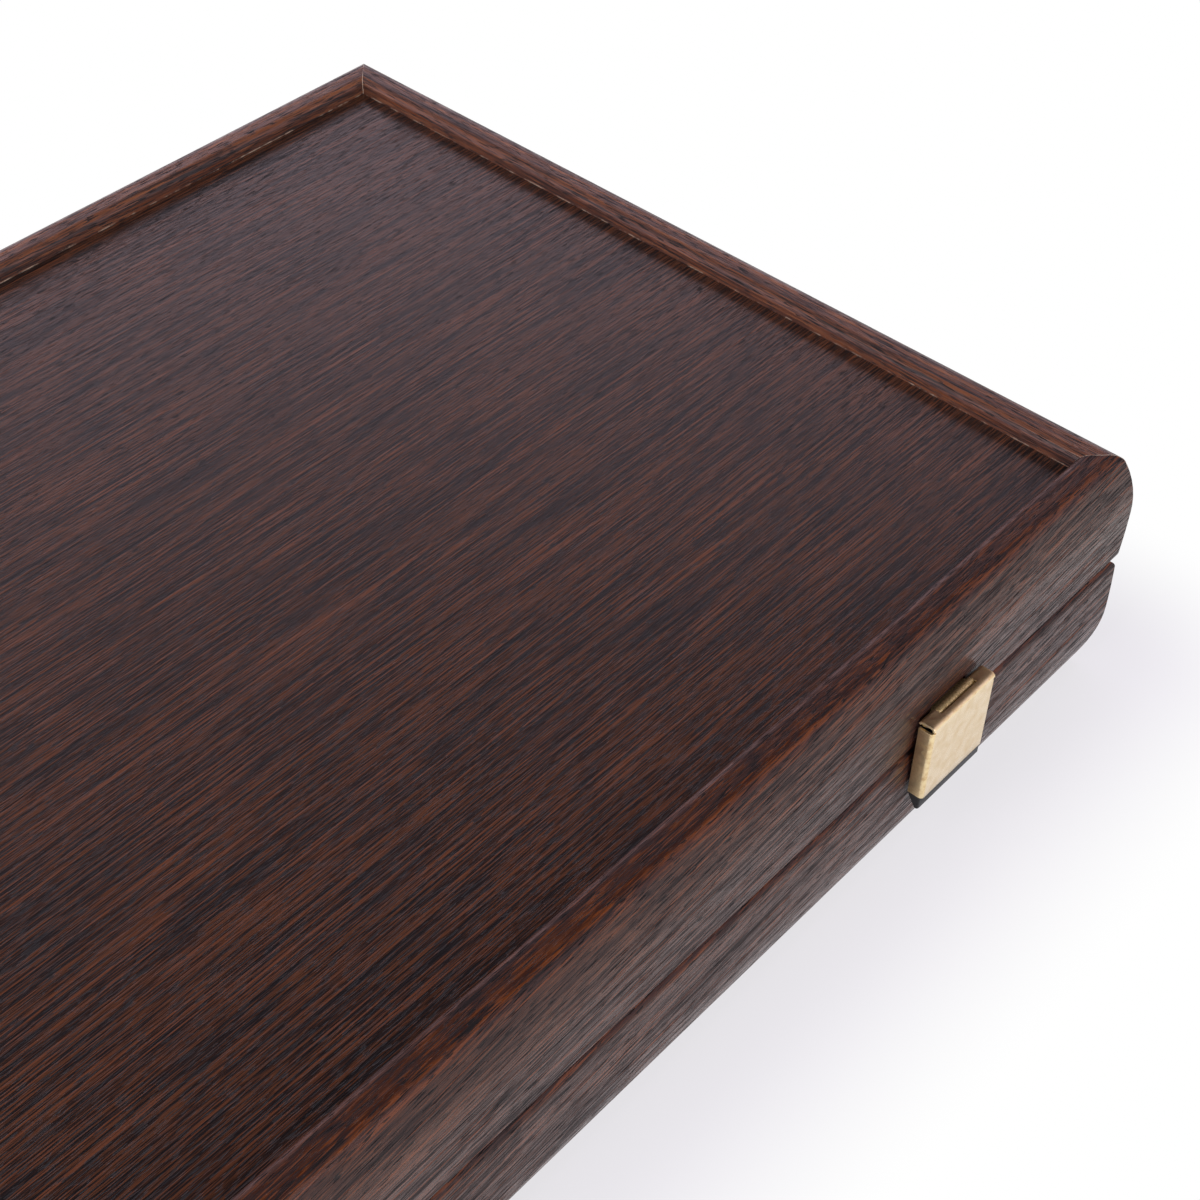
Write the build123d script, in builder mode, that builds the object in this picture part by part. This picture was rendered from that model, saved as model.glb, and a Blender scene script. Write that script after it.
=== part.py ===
from build123d import *
import math
import os

# Folding wooden backgammon case, shown closed: two mitred trays joined by butt hinges
# along one long side and held shut by two flap latches along the other.
# X runs along the long side, the latches are at the front (-Y), Z is up, sizes in mm.

# The two trays
case_length = 480.0
case_depth = 300.0
tray_height = 38.5
seam_gap = 0.3

# Rail section: a tight curve over the outer edge runs into a slack one down the side,
# which leans in a little towards the seam. Both trays' outer edges there are rounded over
rail_width = 13.0
edge_round_in = 7.0
edge_round_up = 20.5
edge_crown_radius = 3.8
seam_set_back = 0.4
base_seam_round = 2.4
lid_seam_round = 3.0
seam_inner_round = 0.8
inner_edge_round = 2.6

# Panel held in a groove, set back from the frame's edge
panel_recess = 5.0
panel_thickness = 5.0
groove_depth = 4.0
fit_clearance = 0.1

# Playing surface: a veneered field with inlaid points, and a rack for the checkers
veneer_thickness = 1.0
points_per_end = 6
point_length = 185.0
point_gap = 0.8
inlay_clearance = 0.02
rack_width = 37.0
divider_width = 6.0
divider_drop = 1.0
divider_round = 1.5

# Butt hinges at the back
hinge_inset = 80.0
hinge_length = 60.0
hinge_knuckles = 5
knuckle_radius = 2.6
knuckle_end_gap = 0.2
hinge_pin_radius = 1.1
pin_clearance = 0.05
leaf_thickness = 1.2
leaf_lip = 1.2
hinge_axis_offset = 0.3
barrel_clearance = 0.35
hinge_screw_pitch = 21.0
hinge_screw_setback = 6.6
hinge_screw_length = 10.0
hinge_screw_head_radius = 2.2
hinge_screw_radius = 1.15
screw_clearance = 0.05
screw_slot_width = 0.5
screw_slot_depth = 0.45

# Flap latches at the front. Depths are measured out from the case's front plane
latch_inset = 83.0
flap_width = 26.8
flap_height = 26.4
flap_front_depth = 5.3
flap_back_depth = 0.9
flap_sheet = 0.8
flap_bend = 1.2
flap_above_seam = 13.2
flap_corner_slot = 0.9
latch_axis_depth = 1.7
latch_knuckle_radius = 1.3
latch_knuckle_gap = 0.15
latch_pin_radius = 0.6
plate_width = 14.6
plate_thickness = 1.0
plate_seat_depth = 1.2
plate_above_seam = 2.6
latch_screw_spread = 8.4
latch_screw_drop = 6.8
latch_screw_length = 8.0
latch_screw_head_radius = 1.7
latch_screw_radius = 0.85
strike_width = 20.0
strike_height = 11.2
strike_thickness = 1.2
strike_below_seam = 2.6
strike_corner = 1.5
strike_screw_spread = 14.0
block_back_depth = 0.4
block_height_in_flap = 21.0
block_side_gap = 0.1
lip_drop = 4.4
lip_thickness = 1.5
magnet_radius = 4.0
magnet_thickness = 2.2

# Places worked out from the sizes above
hinge_reach = hinge_axis_offset + knuckle_radius
mid_y = (flap_front_depth - hinge_reach) / 2  # puts the origin under the middle of the whole object
front_y = mid_y - case_depth / 2
back_y = mid_y + case_depth / 2
half_length = case_length / 2
edge_rise = edge_round_up - edge_crown_radius
edge_run = edge_round_in - edge_crown_radius
side_radius = (edge_round_in**2 + edge_rise**2 - edge_crown_radius**2) / (2 * edge_run)
crown_turn = math.degrees(math.atan2(side_radius - edge_round_in, edge_rise))
seam_z = tray_height
seam_face = tray_height - seam_gap / 2
panel_top = panel_recess + panel_thickness
surface_z = panel_top + veneer_thickness
inside_x = half_length - rail_width
inside_front = front_y + rail_width
inside_back = back_y - rail_width
rack_back = inside_front + rack_width
play_front = rack_back + divider_width
point_pitch = (inside_back - play_front) / points_per_end
hinge_axis_y = back_y + hinge_axis_offset
hinge_places = (-half_length + hinge_inset, half_length - hinge_inset)
knuckle_pitch = hinge_length / hinge_knuckles
leaf_front = inside_back + leaf_lip
hinge_screw_y = back_y - hinge_screw_setback
hinge_screw_offsets = (-hinge_screw_pitch, 0.0, hinge_screw_pitch)
latch_places = (-half_length + latch_inset, half_length - latch_inset)
flap_top = seam_z + flap_above_seam
latch_axis_y = front_y - latch_axis_depth
latch_axis_z = flap_top - latch_knuckle_radius
plate_face_y = front_y + plate_seat_depth - plate_thickness
plate_screw_z = flap_top - latch_screw_drop
strike_top = seam_z - strike_below_seam
strike_middle = strike_top - strike_height / 2
strike_face_y = front_y + plate_seat_depth - strike_thickness

seam_plane = Plane.XY.offset(seam_z)
os.makedirs("parts", exist_ok=True)


def save(piece, name):
    piece.label = name
    export_step(piece, f"parts/{name}.step")


def front_to_back(x, y, z):
    """A plane facing the front at that point, for holes bored into a front rail."""
    return Plane(origin=(x, y, z), x_dir=(1, 0, 0), z_dir=(0, -1, 0))


# Each rail starts at an outer corner, runs along `along`, and its section looks inwards
rail_starts = {
    "front": ((-half_length, front_y, 0), (1, 0, 0), case_length),
    "right": ((half_length, front_y, 0), (0, 1, 0), case_depth),
    "back": ((half_length, back_y, 0), (-1, 0, 0), case_length),
    "left": ((-half_length, back_y, 0), (0, -1, 0), case_depth),
}


def cut_hinge_seats():
    """Mortises for the leaves, a hollow for the barrel and pilot holes, in the open back rail."""
    for x in hinge_places:
        with Locations((x, (leaf_front + hinge_axis_y) / 2, seam_face)):
            Box(
                hinge_length + 2 * fit_clearance,
                hinge_axis_y - leaf_front + 2 * fit_clearance,
                2 * leaf_thickness,
                mode=Mode.SUBTRACT,
            )
        with Locations((x, hinge_axis_y, seam_z)):
            Cylinder(
                knuckle_radius + barrel_clearance,
                hinge_length + 2 * barrel_clearance,
                rotation=(0, 90, 0),
                mode=Mode.SUBTRACT,
            )
        for offset in hinge_screw_offsets:
            with Locations((x + offset, hinge_screw_y, seam_face)):
                Hole(
                    radius=hinge_screw_radius + screw_clearance,
                    depth=hinge_screw_length + screw_clearance,
                )


def cut_latch_seats(seat_width, seat_low, seat_high, screw_spread, screw_z):
    """A flat seat for a latch plate and its pilot holes, in the open front rail."""
    for x in latch_places:
        with Locations((x, front_y + plate_seat_depth, (seat_low + seat_high) / 2)):
            Box(
                seat_width + 2 * fit_clearance,
                2 * plate_seat_depth,
                seat_high - seat_low + 2 * fit_clearance,
                align=(Align.CENTER, Align.MAX, Align.CENTER),
                mode=Mode.SUBTRACT,
            )
        for side in (-1, 1):
            with Locations(
                front_to_back(x + side * screw_spread / 2, front_y + plate_seat_depth, screw_z)
            ):
                Hole(
                    radius=latch_screw_radius + screw_clearance,
                    depth=latch_screw_length + screw_clearance,
                )


def build_rail(side, seam_round, latch_seat=None):
    """One mitred rail, as it lies in the lower tray. latch_seat has the sizes of a latch plate's seat."""
    start, along, length = rail_starts[side]
    plan = Plane(origin=start, x_dir=along, z_dir=(0, 0, 1))
    section_plane = Plane(origin=start, x_dir=plan.y_dir, z_dir=plan.x_dir)
    groove_top = panel_top + fit_clearance
    groove_wall = rail_width - groove_depth
    with BuildPart() as rail:
        with BuildSketch(section_plane) as section:
            with BuildLine():
                crown = JernArc((edge_round_in, 0), (-1, 0), edge_crown_radius, -crown_turn)
                TangentArc(crown @ 1, (0, edge_round_up), tangent=crown % 1)
                TangentArc((0, edge_round_up), (seam_set_back, seam_face), tangent=(0, 1))
                Polyline(
                    (seam_set_back, seam_face),
                    (rail_width, seam_face),
                    (rail_width, groove_top),
                    (groove_wall, groove_top),
                    (groove_wall, panel_recess),
                    (rail_width, panel_recess),
                    (rail_width, inner_edge_round),
                )
                RadiusArc(
                    (rail_width, inner_edge_round),
                    (rail_width - inner_edge_round, 0),
                    inner_edge_round,
                )
                Line((rail_width - inner_edge_round, 0), (edge_round_in, 0))
            make_face()
            seam_corners = section.vertices().group_by(Axis.Y)[-1].sort_by(Axis.X)
            fillet(seam_corners[0], radius=seam_round)
            inner_corner = section.vertices().group_by(Axis.Y)[-1].sort_by(Axis.X)[-1]
            fillet(inner_corner, radius=seam_inner_round)
        extrude(amount=length)
        with BuildSketch(plan):
            with BuildLine():
                Polyline(
                    (0, 0),
                    (length, 0),
                    (length - rail_width, rail_width),
                    (rail_width, rail_width),
                    close=True,
                )
            make_face()
        extrude(amount=tray_height, mode=Mode.INTERSECT)
        if side == "back":
            cut_hinge_seats()
        if latch_seat:
            cut_latch_seats(*latch_seat)
    return rail.part


def build_panel():
    """The tray's board: its edges run into the grooves of all four rails."""
    reach = groove_depth - fit_clearance
    with BuildPart() as panel:
        with BuildSketch(Plane.XY.offset(panel_recess)):
            with Locations((0, mid_y)):
                Rectangle(2 * (inside_x + reach), inside_back - inside_front + 2 * reach)
        extrude(amount=panel_thickness)
    return panel.part


def draw_points(tone, inset):
    """The six triangles of one tone, three at each end of the field, drawn in plan."""
    half_base = (point_pitch - point_gap) / 2 - inset
    for end in (-1, 1):
        for place in range(points_per_end):
            tone_here = (place + (end > 0)) % 2
            if tone_here != tone:
                continue
            y = play_front + (place + 0.5) * point_pitch
            base_x = end * (inside_x - fit_clearance - inset)
            tip_x = end * (inside_x - point_length + inset)
            Polygon((base_x, y - half_base), (base_x, y + half_base), (tip_x, y), align=None)


def build_points(tone):
    with BuildPart() as points:
        with BuildSketch(Plane.XY.offset(panel_top)):
            draw_points(tone, inlay_clearance)
        extrude(amount=veneer_thickness)
    return points.part


def build_field():
    """The dark veneer of the playing surface, cut away where the points are let in."""
    with BuildPart() as field:
        with BuildSketch(Plane.XY.offset(panel_top)):
            with Locations((0, (play_front + inside_back) / 2)):
                Rectangle(2 * (inside_x - fit_clearance), inside_back - play_front - 2 * fit_clearance)
        extrude(amount=veneer_thickness)
        for tone in (0, 1):
            with BuildSketch(Plane.XY.offset(panel_top)):
                draw_points(tone, 0)
            extrude(amount=veneer_thickness, mode=Mode.SUBTRACT)
    return field.part


def build_rack_floor():
    with BuildPart() as floor:
        with BuildSketch(Plane.XY.offset(panel_top)):
            with Locations((0, (inside_front + rack_back) / 2)):
                Rectangle(2 * (inside_x - fit_clearance), rack_width - 2 * fit_clearance)
        extrude(amount=veneer_thickness)
    return floor.part


def build_divider():
    """The bar between the rack and the playing surface, rounded along its top."""
    with BuildPart() as divider:
        with BuildSketch(Plane.XY.offset(panel_top)):
            with Locations((0, (rack_back + play_front) / 2)):
                Rectangle(2 * (inside_x - fit_clearance), divider_width)
        extrude(amount=seam_face - divider_drop - panel_top)
        top_edges = divider.faces().sort_by(Axis.Z)[-1].edges().filter_by(Axis.X)
        fillet(top_edges, radius=divider_round)
    return divider.part


def build_leaf(hinge_x, own_knuckles):
    """A hinge leaf let into the lower tray's back rail, with the knuckles of its own side."""
    leaf_top = seam_face
    first_x = hinge_x - hinge_length / 2
    with BuildPart() as leaf:
        with BuildSketch(Plane.XY.offset(leaf_top - leaf_thickness)):
            with Locations((hinge_x, (leaf_front + hinge_axis_y) / 2)):
                Rectangle(hinge_length, hinge_axis_y - leaf_front)
        extrude(amount=leaf_thickness)
        for knuckle in range(hinge_knuckles):
            middle = first_x + (knuckle + 0.5) * knuckle_pitch
            own = knuckle in own_knuckles
            with Locations((middle, hinge_axis_y, seam_z)):
                if own:
                    Cylinder(knuckle_radius, knuckle_pitch - knuckle_end_gap, rotation=(0, 90, 0))
                else:
                    Cylinder(
                        knuckle_radius + barrel_clearance,
                        knuckle_pitch + knuckle_end_gap,
                        rotation=(0, 90, 0),
                        mode=Mode.SUBTRACT,
                    )
        with Locations((hinge_x, hinge_axis_y, seam_z)):
            Cylinder(
                hinge_pin_radius + pin_clearance,
                hinge_length,
                rotation=(0, 90, 0),
                mode=Mode.SUBTRACT,
            )
        for offset in hinge_screw_offsets:
            with Locations((hinge_x + offset, hinge_screw_y, leaf_top)):
                CounterSinkHole(
                    radius=hinge_screw_radius + screw_clearance,
                    counter_sink_radius=hinge_screw_head_radius + screw_clearance,
                    depth=leaf_thickness,
                    counter_sink_angle=90,
                )
    return leaf.part


def build_hinge_pin(hinge_x):
    with BuildPart() as pin:
        with BuildSketch(Plane.YZ.offset(hinge_x - hinge_length / 2)):
            with Locations((hinge_axis_y, seam_z)):
                Circle(hinge_pin_radius)
        extrude(amount=hinge_length)
    return pin.part


def build_screw(head_radius, shank_radius, length):
    """A slotted countersunk wood screw, its head's face at the origin, pointing down."""
    head_height = head_radius - shank_radius
    taper = 2 * shank_radius
    with BuildPart() as screw:
        with BuildSketch(Plane.XZ):
            with BuildLine():
                Polyline(
                    (0, 0),
                    (head_radius, 0),
                    (shank_radius, -head_height),
                    (shank_radius, taper - length),
                    (0, -length),
                    close=True,
                )
            make_face()
        revolve(axis=Axis.Z)
        Box(2 * head_radius, screw_slot_width, 2 * screw_slot_depth, mode=Mode.SUBTRACT)
    return screw.part


def place_screws(screw, planes):
    with BuildPart() as screws:
        with Locations(*planes):
            add(screw)
    return screws.part


def build_latch_plate(latch_x):
    """The brass plate on the upper tray, rolled over at its top to carry the flap's pin."""
    low = seam_z + plate_above_seam
    seat_y = front_y + plate_seat_depth
    with BuildPart() as plate:
        with BuildSketch(Plane.YZ.offset(latch_x - plate_width / 2)):
            with Locations(((seat_y + plate_face_y) / 2, (low + flap_top) / 2)):
                Rectangle(plate_thickness, flap_top - low)
            with Locations(((latch_axis_y + plate_face_y) / 2, flap_top - flap_sheet / 2)):
                Rectangle(plate_face_y - latch_axis_y, flap_sheet)
            with Locations((latch_axis_y, latch_axis_z)):
                Circle(latch_knuckle_radius)
                Circle(latch_pin_radius + pin_clearance, mode=Mode.SUBTRACT)
        extrude(amount=plate_width)
        for side in (-1, 1):
            with Locations(
                front_to_back(latch_x + side * latch_screw_spread / 2, plate_face_y, plate_screw_z)
            ):
                CounterSinkHole(
                    radius=latch_screw_radius + screw_clearance,
                    counter_sink_radius=latch_screw_head_radius + screw_clearance,
                    depth=plate_thickness,
                    counter_sink_angle=90,
                )
    return plate.part


def build_flap(latch_x):
    """The pressed cover: sides and top folded back, the top rolled round the pin at each side."""
    depth = flap_front_depth - flap_back_depth
    middle_y = front_y - (flap_front_depth + flap_back_depth) / 2
    middle_z = flap_top - flap_height / 2
    inner_half = flap_width / 2 - flap_sheet
    opening = plate_width / 2 + latch_knuckle_gap
    roll_end = inner_half - latch_knuckle_gap
    strip_back = latch_axis_depth + latch_knuckle_radius + 2 * latch_knuckle_gap
    with BuildPart() as flap:
        with Locations((latch_x, middle_y, middle_z)):
            Box(flap_width, depth, flap_height)
        face_edges = flap.faces().sort_by(Axis.Y)[0].edges()
        fillet(face_edges.filter_by(Axis.Z) + face_edges.sort_by(Axis.Z)[-1:], radius=flap_bend)
        with Locations((latch_x, middle_y + flap_sheet, middle_z - flap_sheet)):
            Box(2 * inner_half, depth, flap_height, mode=Mode.SUBTRACT)
        # Behind the pin the top is open: only the rolled parts reach that far
        with Locations((latch_x, latch_axis_y, flap_top - latch_knuckle_radius)):
            Box(
                2 * inner_half,
                2 * latch_axis_depth,
                2 * latch_knuckle_radius,
                align=(Align.CENTER, Align.MIN, Align.CENTER),
                mode=Mode.SUBTRACT,
            )
        # The plate's knuckle stands in a window in the top
        with Locations((latch_x, front_y - strip_back, flap_top - latch_knuckle_radius)):
            Box(
                2 * opening,
                strip_back,
                2 * latch_knuckle_radius,
                align=(Align.CENTER, Align.MIN, Align.CENTER),
                mode=Mode.SUBTRACT,
            )
        for side in (-1, 1):
            with Locations((latch_x + side * (opening + roll_end) / 2, latch_axis_y, latch_axis_z)):
                Cylinder(latch_knuckle_radius, roll_end - opening, rotation=(0, 90, 0))
            # The sheet is not joined at the folded corners
            slot_z = flap_top - flap_sheet - flap_corner_slot / 2
            with Locations((latch_x + side * flap_width / 2, front_y - flap_back_depth, slot_z)):
                Box(
                    2 * flap_sheet,
                    depth - flap_bend,
                    flap_corner_slot,
                    align=(Align.CENTER, Align.MAX, Align.CENTER),
                    mode=Mode.SUBTRACT,
                )
        with Locations((latch_x, latch_axis_y, latch_axis_z)):
            Cylinder(
                latch_pin_radius + pin_clearance,
                2 * inner_half,
                rotation=(0, 90, 0),
                mode=Mode.SUBTRACT,
            )
    return flap.part


def build_catch_block(latch_x):
    """The black moulding inside the flap. Its lower end stands out as a lip for the finger."""
    front = front_y - flap_front_depth + flap_sheet
    back = front_y - block_back_depth
    flap_bottom = flap_top - flap_height
    half_width = flap_width / 2 - flap_sheet - block_side_gap
    with BuildPart() as block:
        with BuildSketch(Plane.YZ.offset(latch_x - half_width)):
            with BuildLine():
                Polyline(
                    (back, flap_bottom + block_height_in_flap),
                    (front, flap_bottom + block_height_in_flap),
                    (front, flap_bottom - lip_drop),
                    (front + lip_thickness, flap_bottom - lip_drop),
                    (back, flap_bottom),
                    close=True,
                )
            make_face()
        extrude(amount=2 * half_width)
        lip_edges = block.edges().filter_by(Axis.X).group_by(Axis.Z)[0]
        fillet(lip_edges, radius=lip_thickness / 4)
        with Locations(front_to_back(latch_x, back, strike_middle).rotated((180, 0, 0))):
            Hole(radius=magnet_radius + fit_clearance, depth=magnet_thickness)
    return block.part


def build_magnet(latch_x):
    with BuildPart() as magnet:
        with BuildSketch(front_to_back(latch_x, front_y - block_back_depth, strike_middle)):
            Circle(magnet_radius)
        extrude(amount=magnet_thickness)
    return magnet.part


def build_latch_pin(latch_x):
    half_pin = flap_width / 2 - flap_sheet - latch_knuckle_gap
    with BuildPart() as pin:
        with BuildSketch(Plane.YZ.offset(latch_x - half_pin)):
            with Locations((latch_axis_y, latch_axis_z)):
                Circle(latch_pin_radius)
        extrude(amount=2 * half_pin)
    return pin.part


def build_strike(latch_x):
    """The steel plate on the lower tray that the latch's magnet holds on to."""
    with BuildPart() as strike:
        with BuildSketch(front_to_back(latch_x, front_y + plate_seat_depth, strike_middle)):
            RectangleRounded(strike_width, strike_height, strike_corner)
        extrude(amount=strike_thickness)
        for side in (-1, 1):
            with Locations(
                front_to_back(latch_x + side * strike_screw_spread / 2, strike_face_y, strike_middle)
            ):
                CounterSinkHole(
                    radius=latch_screw_radius + screw_clearance,
                    counter_sink_radius=latch_screw_head_radius + screw_clearance,
                    depth=strike_thickness,
                    counter_sink_angle=90,
                )
    return strike.part


# The upper tray is the lower one mirrored in the seam, so its front rail's seats
# are given here by where they fall in that mirror
strike_seat = (
    strike_width,
    strike_top - strike_height,
    strike_top,
    strike_screw_spread,
    strike_middle,
)
plate_seat = (
    plate_width,
    2 * seam_z - flap_top,
    seam_z - plate_above_seam,
    latch_screw_spread,
    2 * seam_z - plate_screw_z,
)

for side in ("back", "left", "right"):
    save(build_rail(side, base_seam_round), f"base_{side}_rail")
    save(mirror(build_rail(side, lid_seam_round), about=seam_plane), f"lid_{side}_rail")
save(build_rail("front", base_seam_round, strike_seat), "base_front_rail")
save(mirror(build_rail("front", lid_seam_round, plate_seat), about=seam_plane), "lid_front_rail")

tray_pieces = {
    "panel": build_panel(),
    "field": build_field(),
    "light_points": build_points(0),
    "dark_points": build_points(1),
    "divider": build_divider(),
    "rack_floor": build_rack_floor(),
}
for piece_name, piece in tray_pieces.items():
    save(piece, f"base_{piece_name}")
    save(mirror(piece, about=seam_plane), f"lid_{piece_name}")

base_knuckles = range(0, hinge_knuckles, 2)
lid_knuckles = range(1, hinge_knuckles, 2)
for hinge_name, x in zip(("left", "right"), hinge_places):
    save(build_leaf(x, base_knuckles), f"hinge_{hinge_name}_base_leaf")
    save(mirror(build_leaf(x, lid_knuckles), about=seam_plane), f"hinge_{hinge_name}_lid_leaf")
    save(build_hinge_pin(x), f"hinge_{hinge_name}_pin")

hinge_screw = build_screw(hinge_screw_head_radius, hinge_screw_radius, hinge_screw_length)
hinge_screw_planes = [
    Plane(origin=(x + offset, hinge_screw_y, seam_face))
    for x in hinge_places
    for offset in hinge_screw_offsets
]
hinge_base_screws = place_screws(hinge_screw, hinge_screw_planes)
save(hinge_base_screws, "hinge_base_screws")
save(mirror(hinge_base_screws, about=seam_plane), "hinge_lid_screws")

for latch_name, x in zip(("left", "right"), latch_places):
    save(build_latch_plate(x), f"latch_{latch_name}_plate")
    save(build_flap(x), f"latch_{latch_name}_flap")
    save(build_catch_block(x), f"latch_{latch_name}_catch_block")
    save(build_magnet(x), f"latch_{latch_name}_magnet")
    save(build_latch_pin(x), f"latch_{latch_name}_pin")
    save(build_strike(x), f"latch_{latch_name}_strike")

latch_screw = build_screw(latch_screw_head_radius, latch_screw_radius, latch_screw_length)
plate_screw_planes = [
    front_to_back(x + side * latch_screw_spread / 2, plate_face_y, plate_screw_z)
    for x in latch_places
    for side in (-1, 1)
]
strike_screw_planes = [
    front_to_back(x + side * strike_screw_spread / 2, strike_face_y, strike_middle)
    for x in latch_places
    for side in (-1, 1)
]
save(place_screws(latch_screw, plate_screw_planes), "latch_plate_screws")
save(place_screws(latch_screw, strike_screw_planes), "latch_strike_screws")
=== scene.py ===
import math

import bpy
import bmesh
from mathutils import Matrix, Vector


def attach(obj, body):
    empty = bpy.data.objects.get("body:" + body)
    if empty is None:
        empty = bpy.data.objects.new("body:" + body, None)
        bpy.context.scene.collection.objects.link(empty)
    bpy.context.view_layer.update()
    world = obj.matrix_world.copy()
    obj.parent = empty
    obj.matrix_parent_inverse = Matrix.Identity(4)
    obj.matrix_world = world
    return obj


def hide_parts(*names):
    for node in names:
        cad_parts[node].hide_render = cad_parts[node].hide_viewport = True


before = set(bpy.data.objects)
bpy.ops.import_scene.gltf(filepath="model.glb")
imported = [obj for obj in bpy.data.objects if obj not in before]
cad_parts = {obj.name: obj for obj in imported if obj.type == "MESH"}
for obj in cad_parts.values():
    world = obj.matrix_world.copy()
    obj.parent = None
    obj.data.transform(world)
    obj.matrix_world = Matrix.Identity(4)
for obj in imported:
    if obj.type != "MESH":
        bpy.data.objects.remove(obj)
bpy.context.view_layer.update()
print("frame loaded:", len(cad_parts), "nodes")

scene = bpy.context.scene
scene.view_settings.view_transform = "Standard"
mm = 0.001


# The camera stands over the front left part of the lid and looks down to its far right corner
cameraSet = {
    "place": (-154.4, -311.6, 421.8),  # mm
    "yaw": 41.96,  # degrees from +X towards +Y
    "pitch": -44.93,
    "roll": 0.654,
    "focalPixels": 2015.4,  # in the photograph's pixels
    "imageWidth": 1200.0,
    "sensor": 36.0,
    "sees": (0.01, 50.0),  # m, from and to
}


def placeCamera(c):
    data = bpy.data.cameras.new("camera")
    data.sensor_width = c["sensor"]
    data.lens = c["focalPixels"] * c["sensor"] / c["imageWidth"]
    data.clip_start, data.clip_end = c["sees"]
    cam = bpy.data.objects.new("camera", data)
    scene.collection.objects.link(cam)
    yaw, pitch, roll = (math.radians(c[k]) for k in ("yaw", "pitch", "roll"))
    flat = math.cos(pitch)
    forward = Vector((flat * math.cos(yaw), flat * math.sin(yaw), math.sin(pitch)))
    level = forward.cross(Vector((0, 0, 1))).normalized()
    upright = level.cross(forward)
    right = math.cos(roll) * level + math.sin(roll) * upright
    top = math.cos(roll) * upright - math.sin(roll) * level
    cam.matrix_world = Matrix((right, top, -forward)).transposed().to_4x4()
    cam.location = Vector(c["place"]) * mm
    scene.camera = cam


placeCamera(cameraSet)
print("camera placed")


def hexColour(code):  # sRGB hex to the linear colour that a socket takes
    values = [int(code[i:i + 2], 16) / 255 for i in (1, 3, 5)]
    linear = [v / 12.92 if v <= 0.04045 else ((v + 0.055) / 1.055) ** 2.4 for v in values]
    return (*linear, 1.0)


# Fills inputs with plain values, sockets or nodes, which stand for their first live output
def feed(tree, inputs, links):
    for key, value in links.items():
        if isinstance(value, bpy.types.Node):
            value = next(output for output in value.outputs if output.enabled)
        if isinstance(value, bpy.types.NodeSocket):
            tree.links.new(value, inputs[key])
        else:
            inputs[key].default_value = value


# Adds one node. stops gives a ramp its places with hex colours
def addNode(tree, kind, links=None, stops=(), **settings):
    node = tree.nodes.new(kind)
    for key, value in settings.items():
        setattr(node, key, value)
    feed(tree, node.inputs, links or {})
    for place, shade in stops[1:-1]:
        node.color_ramp.elements.new(place)
    for i, (place, shade) in enumerate(stops):
        node.color_ramp.elements[i].position = place
        node.color_ramp.elements[i].color = hexColour(shade)
    return node


def newMaterial(name):
    material = bpy.data.materials.new(name)
    material.use_nodes = True
    return material, material.node_tree, material.node_tree.nodes["Principled BSDF"]


# Wenge: a nearly black brown timber of fine parallel lines, dark fibre beside reddish soft tissue,
# planed, sanded and sprayed with satin lacquer. The eye sees lines about a millimetre apart, short
# open pores, and a mauve veil where the lacquer mirrors something white, dull on the open grain
wengePanel = {
    "shades": ("#0c090a", "#1d1313", "#302019", "#563525"),  # dark fibre to soft tissue
    "spread": (0.43, 0.47, 0.51, 0.565),  # where the shades stand on the mixed grain
    "grain": {  # along and across the grain in mm, octaves, share in the colour
        "band": (260.0, 12.0, 1.0, 0.08),
        "streak": (34.0, 0.48, 1.0, 0.46),
        "fibre": (9.0, 0.23, 2.0, 0.46),
    },
    "grainRough": 0.55,  # how much the finer octaves count
    "apart": (7.3, 3.1),  # keeps the layers of grain from repeating each other
    "waver": (170.0, 30.0, 0.5),  # the lines wander: mm along, mm across, by how many mm
    "alongY": False,
    "slope": 0.0,
    "soft": (46.0, 0.50, 0.570, "#6b3f2a", 0.8),  # red lines: along, across, how rare, colour, share
    "softFade": 0.09,
    "pores": (3.6, 0.27, 0.63),  # mm along, mm across, how rare
    "poreFade": 0.05,
    "poreColour": "#060506",
    "poreShare": 0.9,
    "poreDull": 0.4,  # added to the roughness
    "paleAndHighlightLines": (),
    "accentCore": 0.3,  # share of an accent's half width that has its full colour
    "accentGrain": (0.42, 0.54),  # mixed grain where an accent is broken, where it is whole
    "rough": (0.32, 0.17),  # on dark fibre, on soft tissue
    "roughGrain": (0.44, 0.54),  # mixed grain that counts as either
    "specular": 0.5,
    "streakRelief": 0.8,  # beside 1 for the fibre
    "reliefDepth": 0.12,  # mm
    "bump": 0.4,
}
wengeFrontRail = dict(
    wengePanel,
    shades=("#110b0c", "#271411", "#3c2118", "#5d3621"),
    spread=(0.39, 0.465, 0.535, 0.63),
    grain={
        "band": (120.0, 2.6, 1.0, 0.22),
        "streak": (36.0, 0.60, 1.0, 0.34),
        "fibre": (8.0, 0.30, 3.0, 0.44),
    },
    waver=(110.0, 16.0, 0.8),
    slope=0.06,  # rise of the lines along the rail
    soft=(50.0, 0.55, 0.575, "#6b391d", 0.8),
    pores=(4.5, 0.32, 0.64),
    poreColour="#0f0b0c",
    paleAndHighlightLines=(  # lines on the top, partly pale wood and partly painted highlight where the curved top catches light: mm in from the outside, half width, share, colour, how far the dark grain breaks it
        (4.6, 0.7, 0.55, "#713c1a", 1.0),
        (8.2, 2.4, 0.20, "#5e361e", 1.0),
        (11.4, 1.1, 0.50, "#5a3624", 0.4),
    ),
    rough=(0.66, 0.20),
    specular=0.28,  # its open grain holds less lacquer
    bump=0.7,
)
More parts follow.
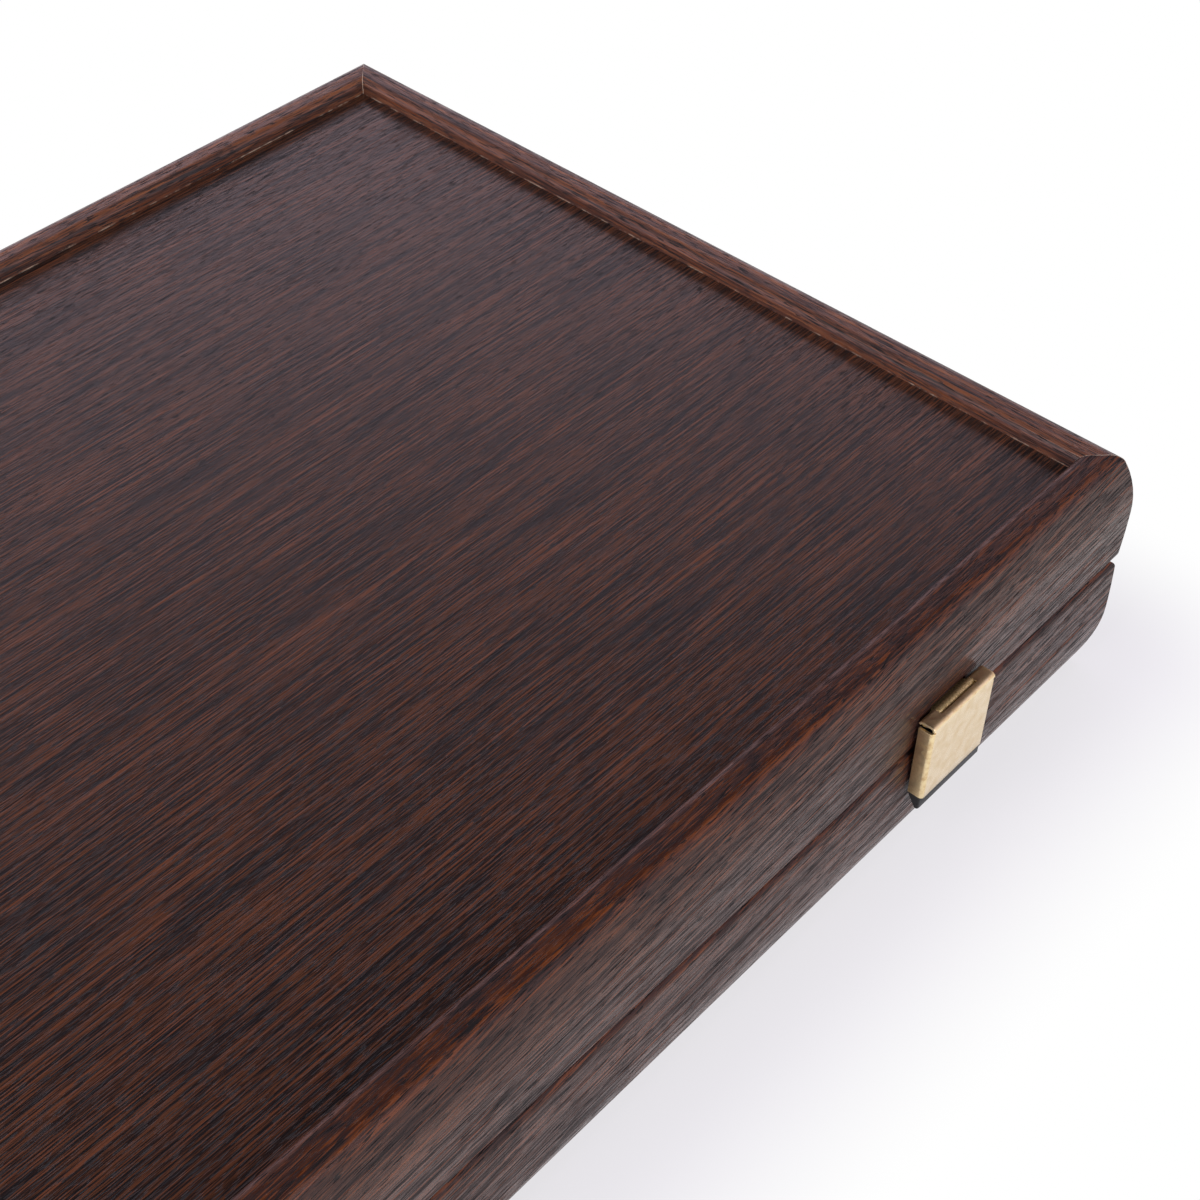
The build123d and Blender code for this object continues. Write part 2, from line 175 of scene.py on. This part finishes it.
wengeBackRailPaintedLight = dict(  # paler shades, painted light: the far rails drawn as more brightly lit than the front ones; with more lacquer
    wengeFrontRail,
    shades=("#1f1716", "#3e2720", "#5d3a2c", "#7d5138"),
    spread=(0.40, 0.46, 0.53, 0.60),
    slope=-0.03,
    # Pale lines on the top, partly painted highlight where the curve catches light
    paleAndHighlightLines=((7.6, 0.8, 0.55, "#9a5c31", 1.0), (11.4, 1.2, 0.50, "#84543a", 0.9)),
    rough=(0.52, 0.26),
    specular=0.45,
)
# The end rails take the back rail's paler shades, which are painted light
wengeEndRailPaintedLight = dict(wengeBackRailPaintedLight, alongY=True, slope=0.02)
wengeDivider = dict(wengeFrontRail, paleAndHighlightLines=(), slope=0.01)

# The veneers inside: pale maple and walnut points in a red-brown padauk field, sanded and lacquered.
# The eye sees soft straight lines, with the finest drawn about half a millimetre apart
mapleVeneer = dict(
    wengePanel,
    shades=("#b48d5c", "#c6a06c", "#d0ac79", "#dcbb8b"),
    spread=(0.36, 0.45, 0.54, 0.66),
    grain={
        "band": (240.0, 9.0, 1.0, 0.34),
        "streak": (80.0, 1.5, 1.0, 0.36),
        "fibre": (16.0, 0.45, 1.0, 0.30),
    },
    waver=(140.0, 30.0, 1.6),
    soft=(60.0, 1.0, 0.60, "#b5885a", 0.4),
    pores=(1.6, 0.25, 0.70),
    poreColour="#a27c50",
    rough=(0.40, 0.32),
    bump=0.12,
)
walnutVeneer = dict(
    mapleVeneer,
    shades=("#24150f", "#38221a", "#4a2e22", "#5f3d2d"),
    soft=(60.0, 1.0, 0.60, "#6a452f", 0.4),
    poreColour="#1a0f0b",
)
padaukVeneer = dict(
    mapleVeneer,
    shades=("#4a2516", "#643520", "#74412a", "#8a5034"),
    soft=(60.0, 1.0, 0.60, "#95573a", 0.4),
    poreColour="#35190e",
)

caseSize = {  # mm
    "halfLength": 240.0,
    "halfDepth": 150.0,
    "middle": (0.0, 1.2, 38.5),
    "panelFace": 33.5,  # from half the height up to the panel's face
    "innerWall": 12.7,  # in from the outside
}
# Pale filler in the mitres, and the veneer's raw edge with its glue at the foot of the inner wall
joints = {
    "filler": "#c9b8a4",
    "fillerWidth": 0.16,  # mm each side of the mitre
    "fillerCore": 0.4,  # share of that width that has its full colour
    "fillerShare": 0.85,
    "fillerCrumbs": (0.40, 0.50),  # crumbs where it is gone, where it is whole
    "glue": "#978370",
    "glueHeight": 0.42,  # mm
    "glueCrumbs": (0.50, 0.60),
    "glueStart": 0.1,  # mm below the panel's face
    "crumbs": {"Scale": 0.14, "Detail": 5.0, "Roughness": 0.75},  # per mm
}


# Broad pale lines at their own distance from the outside of the case: partly pale soft tissue, partly painted
# highlight where the rail's curved top catches light
def markPaleAndHighlightLines(tree, lines, mixed, half, w):
    wandered = addNode(tree, "ShaderNodeSeparateXYZ", {0: lines}).outputs[1]
    depth = addNode(tree, "ShaderNodeMath", {0: wandered}, operation="ABSOLUTE")
    depth = addNode(tree, "ShaderNodeMath", {0: half, 1: depth}, operation="SUBTRACT")
    broken, whole = w["accentGrain"]
    marks = []
    for middle, halfWidth, share, shade, brokenBy in w["paleAndHighlightLines"]:
        off = addNode(tree, "ShaderNodeMath", {0: depth, 1: middle}, operation="SUBTRACT")
        off = addNode(tree, "ShaderNodeMath", {0: off}, operation="ABSOLUTE")
        links = {0: off, 1: halfWidth, 2: w["accentCore"] * halfWidth, 3: 0.0, 4: share}
        near = addNode(tree, "ShaderNodeMapRange", links)
        links = {0: mixed, 1: broken, 2: whole, 3: 1.0 - brokenBy, 4: 1.0}
        clear = addNode(tree, "ShaderNodeMapRange", links)
        marks.append((addNode(tree, "ShaderNodeMath", {0: near, 1: clear}, operation="MULTIPLY"), shade))
    return marks


# The filler and the glue line, both broken up by crumbs
def markJoints(tree, inMm, centred, size, j):
    mirrored = addNode(tree, "ShaderNodeVectorMath", {0: centred}, operation="ABSOLUTE")
    absX, absY, absZ = addNode(tree, "ShaderNodeSeparateXYZ", {0: mirrored}).outputs
    inX = addNode(tree, "ShaderNodeMath", {0: size["halfLength"], 1: absX}, operation="SUBTRACT")
    inY = addNode(tree, "ShaderNodeMath", {0: size["halfDepth"], 1: absY}, operation="SUBTRACT")
    inside = addNode(tree, "ShaderNodeMath", {0: inX, 1: inY}, operation="MINIMUM")
    wall = addNode(tree, "ShaderNodeMath", {0: inside, 1: size["innerWall"]}, operation="GREATER_THAN")
    start, end = size["panelFace"] - j["glueStart"], size["panelFace"] + j["glueHeight"]
    above = addNode(tree, "ShaderNodeMath", {0: absZ, 1: start}, operation="GREATER_THAN")
    glue = addNode(tree, "ShaderNodeMath", {0: absZ, 1: end}, operation="LESS_THAN")
    fromMitre = addNode(tree, "ShaderNodeMath", {0: inX, 1: inY}, operation="SUBTRACT")
    fromMitre = addNode(tree, "ShaderNodeMath", {0: fromMitre}, operation="ABSOLUTE")
    width = j["fillerWidth"]
    links = {0: fromMitre, 1: width, 2: j["fillerCore"] * width, 3: 0.0, 4: j["fillerShare"]}
    filler = addNode(tree, "ShaderNodeMapRange", links)
    crumbs = addNode(tree, "ShaderNodeTexNoise", {"Vector": inMm, **j["crumbs"]})
    fillerLeft, glueLeft = (
        addNode(tree, "ShaderNodeMapRange", {0: crumbs, 1: gone, 2: whole, 3: 0.0, 4: 1.0})
        for gone, whole in (j["fillerCrumbs"], j["glueCrumbs"])
    )
    for mask in (fillerLeft, above):
        filler = addNode(tree, "ShaderNodeMath", {0: filler, 1: mask}, operation="MULTIPLY")
    for mask in (glueLeft, wall, above):
        glue = addNode(tree, "ShaderNodeMath", {0: glue, 1: mask}, operation="MULTIPLY")
    return [(filler, j["filler"]), (glue, j["glue"])]


def makeWood(name, w, size, j):
    material, tree, shader = newMaterial(name)
    place = addNode(tree, "ShaderNodeTexCoord").outputs["Object"]
    inMm = addNode(tree, "ShaderNodeVectorMath", {0: place, "Scale": 1 / mm}, operation="SCALE")
    centred = addNode(tree, "ShaderNodeVectorMath", {0: inMm, 1: size["middle"]}, operation="SUBTRACT")
    x, y, z = addNode(tree, "ShaderNodeSeparateXYZ", {0: centred}).outputs
    along, across, half = (y, x, size["halfLength"]) if w["alongY"] else (x, y, size["halfDepth"])

    # The lines run along the piece, climb a little and wander
    climb = addNode(tree, "ShaderNodeMath", {0: along, 1: -w["slope"], 2: z}, operation="MULTIPLY_ADD")
    straight = addNode(tree, "ShaderNodeCombineXYZ", {0: along, 1: across, 2: climb})
    longWay, sideWay, reach = w["waver"]
    pace = (1 / longWay, 1 / sideWay, 1 / sideWay)
    slow = addNode(tree, "ShaderNodeVectorMath", {0: straight, 1: pace}, operation="MULTIPLY")
    slow = addNode(tree, "ShaderNodeTexNoise", {"Vector": slow, "Scale": 1.0, "Detail": 1.0}).outputs["Color"]
    slow = addNode(tree, "ShaderNodeVectorMath", {0: slow, 1: (0.5, 0.5, 0.5)}, operation="SUBTRACT")
    swing = (0, 4 * reach, 4 * reach)  # the noise keeps within a quarter of its middle
    lines = addNode(tree, "ShaderNodeVectorMath", {0: slow, 1: swing, 2: straight}, operation="MULTIPLY_ADD")

    # One noise for each layer of the grain, then one for the red lines and one for the pores
    softLong, softWide, softRare, softColour, softShare = w["soft"]
    poreLong, poreWide, poreRare = w["pores"]
    spans = {label: values[:3] for label, values in w["grain"].items()}
    spans["soft"] = (softLong, softWide, 1.0)
    spans["pores"] = (poreLong, poreWide, 0.0)
    layers = {}
    for number, (label, (long, wide, octaves)) in enumerate(spans.items()):
        apart = (w["apart"][0] * number, w["apart"][1] * number, 0)
        links = {0: lines, 1: (1 / long, 1 / wide, 1 / wide), 2: apart}
        stretched = addNode(tree, "ShaderNodeVectorMath", links, operation="MULTIPLY_ADD")
        links = {"Vector": stretched, "Scale": 1.0, "Detail": octaves, "Roughness": w["grainRough"]}
        layers[label] = addNode(tree, "ShaderNodeTexNoise", links)
    mixed = 0.0
    for label, (long, wide, octaves, share) in w["grain"].items():
        links = {0: layers[label], 1: share, 2: mixed}
        mixed = addNode(tree, "ShaderNodeMath", links, operation="MULTIPLY_ADD")
    colour = addNode(tree, "ShaderNodeValToRGB", {0: mixed}, stops=tuple(zip(w["spread"], w["shades"])))

    # What is drawn over the grain, each with its share and its colour
    links = {0: layers["soft"], 1: softRare, 2: softRare + w["softFade"], 3: 0.0, 4: softShare}
    marks = [(addNode(tree, "ShaderNodeMapRange", links), softColour)]
    # Pale lines, partly painted highlight, on the rails only
    if w["paleAndHighlightLines"]:
        marks += markPaleAndHighlightLines(tree, lines, mixed, half, w)
    links = {0: layers["pores"], 1: poreRare, 2: poreRare + w["poreFade"], 3: 0.0, 4: w["poreShare"]}
    pores = addNode(tree, "ShaderNodeMapRange", links)
    marks.append((pores, w["poreColour"]))
    if w["paleAndHighlightLines"]:
        marks += markJoints(tree, inMm, centred, size, j)
    for share, shade in marks:
        links = {0: share, 6: colour, 7: hexColour(shade)}
        colour = addNode(tree, "ShaderNodeMix", links, data_type="RGBA")

    # Dark fibre and pores are duller, and the pores lie deeper
    links = dict(enumerate((mixed, *w["roughGrain"], *w["rough"])))
    gloss = addNode(tree, "ShaderNodeMapRange", links)
    links = {0: pores, 1: w["poreDull"], 2: gloss}
    gloss = addNode(tree, "ShaderNodeMath", links, operation="MULTIPLY_ADD", use_clamp=True)
    links = {0: layers["streak"], 1: w["streakRelief"], 2: layers["fibre"]}
    relief = addNode(tree, "ShaderNodeMath", links, operation="MULTIPLY_ADD")
    relief = addNode(tree, "ShaderNodeMath", {0: relief, 1: pores}, operation="SUBTRACT")
    links = {"Strength": w["bump"], "Distance": w["reliefDepth"] * mm, "Height": relief}
    bump = addNode(tree, "ShaderNodeBump", links)
    surface = {"Base Color": colour, "Roughness": gloss, "Specular IOR Level": w["specular"], "Normal": bump}
    feed(tree, shader.inputs, surface)
    return material


railFront = makeWood("wengeFrontRail", wengeFrontRail, caseSize, joints)
# The back and end rails' paler shades are painted light
railBackPaintedLight = makeWood("wengeBackRailPaintedLight", wengeBackRailPaintedLight, caseSize, joints)
railEndPaintedLight = makeWood("wengeEndRailPaintedLight", wengeEndRailPaintedLight, caseSize, joints)
dividerWood = makeWood("wengeDivider", wengeDivider, caseSize, joints)
panelVeneer = makeWood("wengePanelVeneer", wengePanel, caseSize, joints)
maple = makeWood("mapleVeneer", mapleVeneer, caseSize, joints)
walnut = makeWood("walnutVeneer", walnutVeneer, caseSize, joints)
padauk = makeWood("padaukVeneer", padaukVeneer, caseSize, joints)
print("wood made")


# Brass sheet, pressed, satin finished and lacquered: pale gold on the flats, a deeper gold painted on the
# top, bends and flanges, which don't face forward (painted shade there; their rougher finish is real), bright
# where it is cut, and duller and speckled on the hinge parts, which are rolled and left raw. The screws are
# turned from it, and a shade browner
brassSheet = {
    "shades": ("#f1ddb9", "#e0c69a"),
    "spread": (0.40, 0.75),  # where the shades stand on the noise
    "grainSize": 3.5,  # mm
    "octaves": 4.0,
    "rough": (0.24, 0.34),
    "roughSpread": (0.35, 0.70),
    "bump": 0.03,
    "reliefDepth": 0.05,  # mm
    "metallic": 1.0,
}
# The deeper gold of the top, bends and flanges is painted shade; their rougher finish is real
brassFoldPaintedShade = dict(brassSheet, shades=("#f2dcae", "#cfb180"), grainSize=1.3, rough=(0.34, 0.56), bump=0.06)
brassCut = dict(brassSheet, shades=("#ffedc4", "#efd39c"), grainSize=0.8, rough=(0.40, 0.50), bump=0.02)
brassRolled = dict(brassSheet, shades=("#e6cf9a", "#86704a"), grainSize=0.5, rough=(0.50, 0.75), bump=0.15)
brassScrew = dict(brassSheet, shades=("#dcc391", "#a98c58"), grainSize=0.5, rough=(0.30, 0.45))
# Steel of the strike plate, zinc plated, and the magnet's nickel: greys, a little cloudy
steelZinc = dict(brassSheet, shades=("#a9abad", "#85878a"), grainSize=1.4, rough=(0.34, 0.46), bump=0.05)
magnetNickel = dict(brassSheet, shades=("#b7b7b8", "#8d8d90"), grainSize=1.0, rough=(0.20, 0.30), bump=0.02)
# Black ABS, moulded with a fine spark finish: the eye sees dark grey with a faint sheen
mouldedAbs = {
    "shades": ("#0b0b0d", "#141418"),
    "spread": (0.35, 0.65),
    "grainSize": 0.4,
    "octaves": 2.0,
    "rough": (0.58, 0.46),
    "roughSpread": (0.35, 0.65),
    "bump": 0.2,
    "reliefDepth": 0.03,
    "metallic": 0.0,
}


def makeFinish(name, f):
    material, tree, shader = newMaterial(name)
    place = addNode(tree, "ShaderNodeTexCoord").outputs["Object"]
    links = {"Vector": place, "Scale": 1 / (f["grainSize"] * mm), "Detail": f["octaves"]}
    cloud = addNode(tree, "ShaderNodeTexNoise", links)
    colour = addNode(tree, "ShaderNodeValToRGB", {0: cloud}, stops=tuple(zip(f["spread"], f["shades"])))
    links = dict(enumerate((cloud, *f["roughSpread"], *f["rough"])))
    gloss = addNode(tree, "ShaderNodeMapRange", links)
    links = {"Strength": f["bump"], "Distance": f["reliefDepth"] * mm, "Height": cloud}
    bump = addNode(tree, "ShaderNodeBump", links)
    surface = {"Base Color": colour, "Roughness": gloss, "Metallic": f["metallic"], "Normal": bump}
    feed(tree, shader.inputs, surface)
    return material


brass = makeFinish("satinBrassSheet", brassSheet)
foldBrassPaintedShade = makeFinish("bentBrassSheetPaintedShade", brassFoldPaintedShade)
cutBrass = makeFinish("cutBrassEdge", brassCut)
rolledBrass = makeFinish("rolledBrass", brassRolled)
screwBrass = makeFinish("turnedBrassScrew", brassScrew)
nickel = makeFinish("nickelPlatedMagnet", magnetNickel)
zincSteel = makeFinish("zincPlatedSteel", steelZinc)
blackAbs = makeFinish("mouldedBlackAbs", mouldedAbs)
print("metal and plastic made")


finishes = {  # the first of these words in a node's name gives its finish
    "screws": screwBrass,
    "light_points": maple,
    "dark_points": walnut,
    "field": padauk,
    "rack_floor": padauk,
    "panel": panelVeneer,
    "left_rail": railEndPaintedLight,
    "right_rail": railEndPaintedLight,
    "back_rail": railBackPaintedLight,
    "front_rail": railFront,
    "divider": dividerWood,
    "strike": zincSteel,
    "magnet": nickel,
    "catch_block": blackAbs,
    "flap": brass,
}
for name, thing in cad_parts.items():
    finish = next((finishes[word] for word in finishes if word in name), rolledBrass)
    thing.data.materials.clear()
    thing.data.materials.append(finish)
print("nodes finished")


# Each latch: a cover pressed from sheet, rolled round its pin at both ends of the top, the plate's
# own knuckle in the window between them, and a black moulded lip under the cover
latch = {  # mm
    "places": {"left": -157.0, "right": 157.0},
    "top": 51.7,
    "bottom": 25.3,
    "face": -154.1,
    "sideBack": -149.7,
    "halfWidth": 13.4,
    "sheet": 0.65,
    "sideBend": 1.15,
    "topBend": 1.3,
    "axis": (-150.5, 50.4),  # y, z
    "roll": 1.3,
    "rollTurn": 215.0,  # degrees round the pin from the top
    "window": (7.45, -152.1),  # half width, front edge
    "sideTop": 49.6,  # the flanges end here and leave the corner open
    "topEnd": 12.95,  # half length of the folded top
    "rollEnd": 11.9,  # the roll stops short of it
    "foldRows": 9,  # rows of the roll that the folded top follows to its ends
    "weld": 0.02,  # joins points that are closer
    "flat": 0.95,  # how squarely a face looks forward to count as flat sheet
    "plateHalf": 7.3,
    "plateFace": -148.6,
    "plateBack": -147.6,
    "plateLow": 41.1,
    "plateNeck": 48.9,  # where the plate's face bends into the knuckle
    "knuckleTurn": (320.0, -305.0),  # degrees, start and turn
    "plateTop": ((-148.75, 50.45), (-147.6, 50.3)),
    "lipHalf": 13.25,
    "lip": (
        (-153.55, 25.25), (-153.55, 21.3), (-153.1, 20.6), (-152.3, 20.5), (-150.0, 24.2), (-149.75, 25.25)
    ),
    "steps": {"topBend": 8, "sideBend": 7, "roll": 18, "height": 8, "knuckle": 26},
    "edgeRound": 0.10,
    "lipRound": 0.28,
    "roundSteps": 2,
    "roundAngle": 35.0,  # degrees, sharper edges are rounded
}


def arcPoints(centre, radius, start, turn, steps):
    points = []
    for step in range(steps + 1):
        angle = math.radians(start + turn * step / steps)
        points.append((centre[0] + radius * math.cos(angle), centre[1] + radius * math.sin(angle)))
    return points


def evenHeights(low, high, steps):
    return [low + (high - low) * step / steps for step in range(steps + 1)]


def addStrip(bm, rows):  # rows of points joined into faces
    made = [[bm.verts.new([v * mm for v in point]) for point in row] for row in rows]
    for low, high in zip(made, made[1:]):
        for i in range(len(low) - 1):
            bm.faces.new((low[i], low[i + 1], high[i + 1], high[i]))


def addPiece(name, bm, body, materials):
    mesh = bpy.data.meshes.new(name)
    bm.to_mesh(mesh)
    bm.free()
    for material in materials:
        mesh.materials.append(material)
    piece = bpy.data.objects.new(name, mesh)
    scene.collection.objects.link(piece)
    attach(piece, body)
    return piece


def softenEdges(piece, width, c):
    bevel = piece.modifiers.new("edges", "BEVEL")
    bevel.width = width * mm
    bevel.segments = c["roundSteps"]
    bevel.limit_method = "ANGLE"
    bevel.angle_limit = math.radians(c["roundAngle"])


def makeFlap(side, x, c):
    bm = bmesh.new()
    half, face, top, steps = c["halfWidth"], c["face"], c["top"], c["steps"]
    windowHalf, windowFront = c["window"]
    bend, rollEnd, topEnd = half - c["sideBend"], c["rollEnd"], c["topEnd"]
    bendLow = top - c["topBend"]
    # The folded top: up the face's bend, back over the window's front edge, then round the pin at each end
    bendUp = arcPoints((face + c["topBend"], bendLow), c["topBend"], 180, -90, steps["topBend"])
    across = [-topEnd, -bend, -rollEnd, -windowHalf, 0.0, windowHalf, rollEnd, bend, topEnd]
    frontEdge = [(windowFront, top)]
    addStrip(bm, [[(x + u, y, z) for u in across] for y, z in bendUp + frontEdge])
    roll = frontEdge + arcPoints(c["axis"], c["roll"], 90, -c["rollTurn"], steps["roll"])
    fold = roll[:c["foldRows"]]
    for sign in (-1, 1):
        addStrip(bm, [[(x + sign * u, y, z) for u in (windowHalf, rollEnd)] for y, z in roll])
        addStrip(bm, [[(x + sign * u, y, z) for u in (rollEnd, bend, topEnd)] for y, z in fold])
    # The face, then a flange folded back at each side
    heights = evenHeights(c["bottom"], bendLow, steps["height"])
    addStrip(bm, [[(x + u, face, z) for u in across[1:-1]] for z in heights])
    heights = evenHeights(c["bottom"], c["sideTop"], steps["height"])
    corner = arcPoints((bend, face + c["sideBend"]), c["sideBend"], -90, 90, steps["sideBend"])
    flange = corner + [(half, c["sideBack"])]
    for sign in (-1, 1):
        addStrip(bm, [[(x + sign * u, y, z) for u, y in flange] for z in heights])
    bmesh.ops.remove_doubles(bm, verts=bm.verts, dist=c["weld"] * mm)
    bmesh.ops.recalc_face_normals(bm, faces=bm.faces)
    frontFace = min(bm.faces, key=lambda f: f.calc_center_median().y)
    if frontFace.normal.y > 0:
        bmesh.ops.reverse_faces(bm, faces=bm.faces)
    for polygon in bm.faces:
        polygon.smooth = True
        # Faces that don't look squarely forward take the deeper gold: painted shade on the top, bends and
        # flanges
        polygon.material_index = 0 if polygon.normal.y < -c["flat"] else 1
    piece = addPiece(f"flap_{side}", bm, f"latch_{side}", (brass, foldBrassPaintedShade, cutBrass))
    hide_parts(f"latch_{side}_flap")
    thick = piece.modifiers.new("sheet", "SOLIDIFY")
    thick.thickness = c["sheet"] * mm
    thick.offset = -1.0
    thick.use_even_offset = True
    thick.material_offset_rim = 2  # the cut edge's material
    softenEdges(piece, c["edgeRound"], c)


def makeSection(name, x, halfLength, outline, body, material):
    bm = bmesh.new()
    ends = []
    for u in (-halfLength, halfLength):
        ends.append([bm.verts.new(((x + u) * mm, y * mm, z * mm)) for y, z in outline])
    for end in ends:
        bm.faces.new(end)
    count = len(outline)
    for i in range(count):
        j = (i + 1) % count
        side = bm.faces.new((ends[0][i], ends[0][j], ends[1][j], ends[1][i]))
        side.smooth = True
    bmesh.ops.recalc_face_normals(bm, faces=bm.faces)
    return addPiece(name, bm, body, (material,))


def plateOutline(c):  # up the plate's face, round the knuckle and down its back
    knuckle = arcPoints(c["axis"], c["roll"], *c["knuckleTurn"], c["steps"]["knuckle"])
    front = [(c["plateFace"], c["plateLow"]), (c["plateFace"], c["plateNeck"])]
    return [*front, *knuckle, *c["plateTop"], (c["plateBack"], c["plateLow"])]


plateSection = plateOutline(latch)
for side, x in latch["places"].items():
    makeFlap(side, x, latch)
    plate = makeSection(f"plate_{side}", x, latch["plateHalf"], plateSection, "lid", rolledBrass)
    softenEdges(plate, latch["edgeRound"], latch)
    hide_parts(f"latch_{side}_plate")
    body = f"latch_{side}"
    lip = makeSection(f"lip_{side}", x, latch["lipHalf"], latch["lip"], body, blackAbs)
    softenEdges(lip, latch["lipRound"], latch)
print("latches made")


# A studio that is white low down all round, most of all behind the hinges, and dim overhead, where
# the lid would mirror it. The matt white paper on the floor shows the case's shadow close by, and its white
# glow is turned down beside the case, which paints shade over that shadow
studio = {
    "sky": ((0.52, "#faecff"), (0.65, "#ab999f"), (0.73, "#3d3436"), (0.81, "#0a090a")),  # sine of elevation
    "brightSide": (-0.35, 0.94, 0.0),
    "sideSpread": (-0.6, 0.75),  # cosine to the bright side
    "sideShare": (0.9, 1.5),  # away from the bright side, towards it
    "lamps": {
        "key": ((-1.2, 0.1, 1.5), 1.0, 13.0),  # place in m, size in m, watts
        "fill": ((-0.2, -1.9, 0.7), 1.0, 18.0),
    },
    "floor": 6.0,  # m each way
    "paper": {"Base Color": hexColour("#ebe6f9"), "Roughness": 0.9, "Specular IOR Level": 0.1},
    "whiteFrom": (8.0, 62.0),  # mm from the case
    "whiteShare": (0.66, 1.0),  # of the white glow, beside the case and far from it; the lower glow beside the case is painted shade
}


def makeSky(s):
    world = bpy.data.worlds.new("studio")
    world.use_nodes = True
    scene.world = world
    tree = world.node_tree
    back = tree.nodes["Background"]
    direction = addNode(tree, "ShaderNodeTexCoord").outputs["Generated"]
    height = addNode(tree, "ShaderNodeSeparateXYZ", {0: direction}).outputs[2]
    colour = addNode(tree, "ShaderNodeValToRGB", {0: height}, stops=s["sky"])
    links = {0: direction, 1: s["brightSide"]}
    towards = addNode(tree, "ShaderNodeVectorMath", links, operation="DOT_PRODUCT")
    links = dict(enumerate((towards, *s["sideSpread"], *s["sideShare"])))
    level = addNode(tree, "ShaderNodeMapRange", links)
    feed(tree, back.inputs, {"Color": colour, "Strength": level})
    seen = addNode(tree, "ShaderNodeLightPath").outputs["Is Camera Ray"]
    white = addNode(tree, "ShaderNodeBackground", {"Color": (1, 1, 1, 1), "Strength": 1.0})
    mix = addNode(tree, "ShaderNodeMixShader", {0: seen, 1: back, 2: white})
    feed(tree, tree.nodes["World Output"].inputs, {"Surface": mix})


def hangLamps(s):
    for label, (place, width, watts) in s["lamps"].items():
        lamp = bpy.data.lights.new(label, "AREA")
        lamp.shape = "DISK"
        lamp.size = width
        lamp.energy = watts
        holder = bpy.data.objects.new(label, lamp)
        holder.location = place
        holder.rotation_euler = (-Vector(place)).to_track_quat("-Z", "Y").to_euler()
        scene.collection.objects.link(holder)


def layFloor(s, size):
    mesh = bpy.data.meshes.new("floor")
    reach = s["floor"]
    corners = [(-reach, -reach, 0), (reach, -reach, 0), (reach, reach, 0), (-reach, reach, 0)]
    mesh.from_pydata(corners, [], [(0, 1, 2, 3)])
    floor = bpy.data.objects.new("floor", mesh)
    scene.collection.objects.link(floor)
    material, tree, shader = newMaterial("whitePaperSweep")
    feed(tree, shader.inputs, s["paper"])
    glow = addNode(tree, "ShaderNodeEmission", {"Color": (1, 1, 1, 1), "Strength": 1.0})
    rays = addNode(tree, "ShaderNodeLightPath").outputs
    seen = rays["Is Camera Ray"]
    for kind in ("Is Glossy Ray", "Is Transmission Ray"):
        seen = addNode(tree, "ShaderNodeMath", {0: seen, 1: rays[kind]}, operation="ADD")
    # The paper glows white away from the case and less beside it, which paints shade round the case over its
    # rendered shadow
    place = addNode(tree, "ShaderNodeTexCoord").outputs["Object"]
    inMm = addNode(tree, "ShaderNodeVectorMath", {0: place, "Scale": 1 / mm}, operation="SCALE")
    middle = (*size["middle"][:2], 0.0)
    centred = addNode(tree, "ShaderNodeVectorMath", {0: inMm, 1: middle}, operation="SUBTRACT")
    mirrored = addNode(tree, "ShaderNodeVectorMath", {0: centred}, operation="ABSOLUTE")
    edge = (size["halfLength"], size["halfDepth"], 0)
    beyond = addNode(tree, "ShaderNodeVectorMath", {0: mirrored, 1: edge}, operation="SUBTRACT")
    beyond = addNode(tree, "ShaderNodeVectorMath", {0: beyond, 1: (0, 0, 0)}, operation="MAXIMUM")
    away = addNode(tree, "ShaderNodeVectorMath", {0: beyond}, operation="LENGTH")
    links = dict(enumerate((away, *s["whiteFrom"], *s["whiteShare"])))
    share = addNode(tree, "ShaderNodeMapRange", links, interpolation_type="SMOOTHSTEP")
    share = addNode(tree, "ShaderNodeMath", {0: seen, 1: share}, operation="MULTIPLY", use_clamp=True)
    mix = addNode(tree, "ShaderNodeMixShader", {0: share, 1: shader, 2: glow})
    feed(tree, tree.nodes["Material Output"].inputs, {"Surface": mix})
    mesh.materials.append(material)


makeSky(studio)
hangLamps(studio)
layFloor(studio, caseSize)
print("studio lit")
